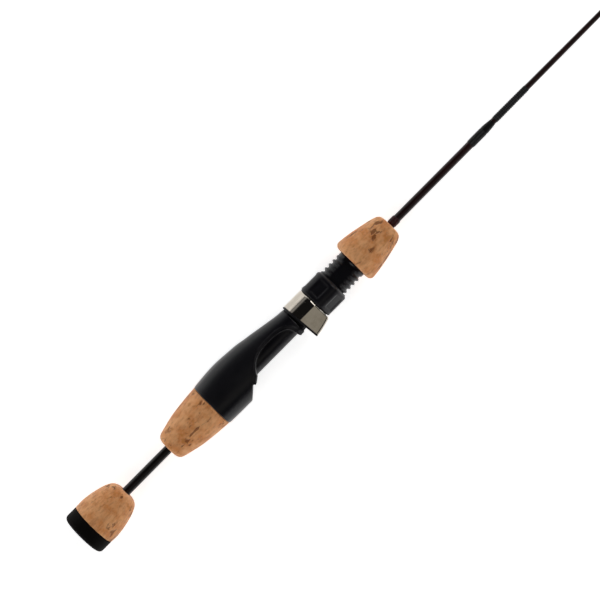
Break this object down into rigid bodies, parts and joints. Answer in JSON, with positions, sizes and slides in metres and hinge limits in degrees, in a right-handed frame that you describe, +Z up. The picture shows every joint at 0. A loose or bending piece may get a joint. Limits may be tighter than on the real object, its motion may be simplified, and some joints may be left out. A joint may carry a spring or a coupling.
{
  "type": "ice fishing rod",
  "caption": "Short ice fishing rod with a cork butt knob, split cork grips, a black reel seat with a screw-down metal hood, and a slim spliced tip with line guides.",
  "frame": {"origin": "centre of the butt cap's flat rear face, on the rod's axis", "axes": "+X along the rod towards the tip; -Y is the side that the reel foot and the line guides are on; +Z is up, with the rod lying on its side"},
  "size_m": [0.61, 0.0297, 0.0278],
  "materials": {
    "cork": "matte",
    "cap_rubber": "matte",
    "seat_plastic": "satin",
    "nut_plastic": "satin",
    "liner_plastic": "satin",
    "hood_metal": "polished",
    "blank_lacquer": "gloss",
    "arbor_paper": "matte",
    "black_thread": "gloss",
    "trim_thread": "gloss",
    "guide_wire": "polished",
    "guide_ceramic": "gloss"
  },
  "bodies": {
    "rod": {"butt_cap": "cap_rubber", "butt_knob_cork": "cork", "blank_butt_section": "blank_lacquer", "blank_tip_section": "blank_lacquer", "rear_grip_cork": "cork", "seat_arbor_rear": "arbor_paper", "seat_arbor_front": "arbor_paper", "reel_seat_body": "seat_plastic", "fore_grip_cork": "cork", "fore_trim_winding": "trim_thread", "splice_wrap": "black_thread", "tip_band_winding": "black_thread", "guide_1_frame": "guide_wire", "guide_1_ring": "guide_ceramic", "guide_1_wrap_rear": "black_thread", "guide_2_frame": "guide_wire", "guide_2_ring": "guide_ceramic", "guide_2_wrap_rear": "black_thread", "guide_3_frame": "guide_wire", "guide_3_ring": "guide_ceramic", "guide_3_wrap_rear": "black_thread", "guide_4_frame": "guide_wire", "guide_4_ring": "guide_ceramic", "guide_4_wrap_rear": "black_thread", "guide_1_wrap_front": "black_thread", "tip_top_frame": "guide_wire", "tip_top_ring": "guide_ceramic", "tip_top_wrap": "black_thread"},
    "sliding_hood": {"sliding_hood_shell": "hood_metal", "sliding_hood_liner": "liner_plastic"},
    "nut": {"lock_nut": "nut_plastic"}
  },
  "joints": [
    {"name": "hood_slide", "type": "slide", "parent": "rod", "child": "sliding_hood", "axis": [1, 0, 0], "range_m": [0, 0.01318]},
    {"name": "nut_spin", "type": "hinge", "parent": "sliding_hood", "child": "nut", "pos_m": [0.19, 0, 0], "axis": [1, 0, 0], "range_deg": [0, 1530]}
  ],
  "couplings": [
    {"joint": "hood_slide", "follows": "nut_spin", "m_per_rad": 0.00049338}
  ]
}
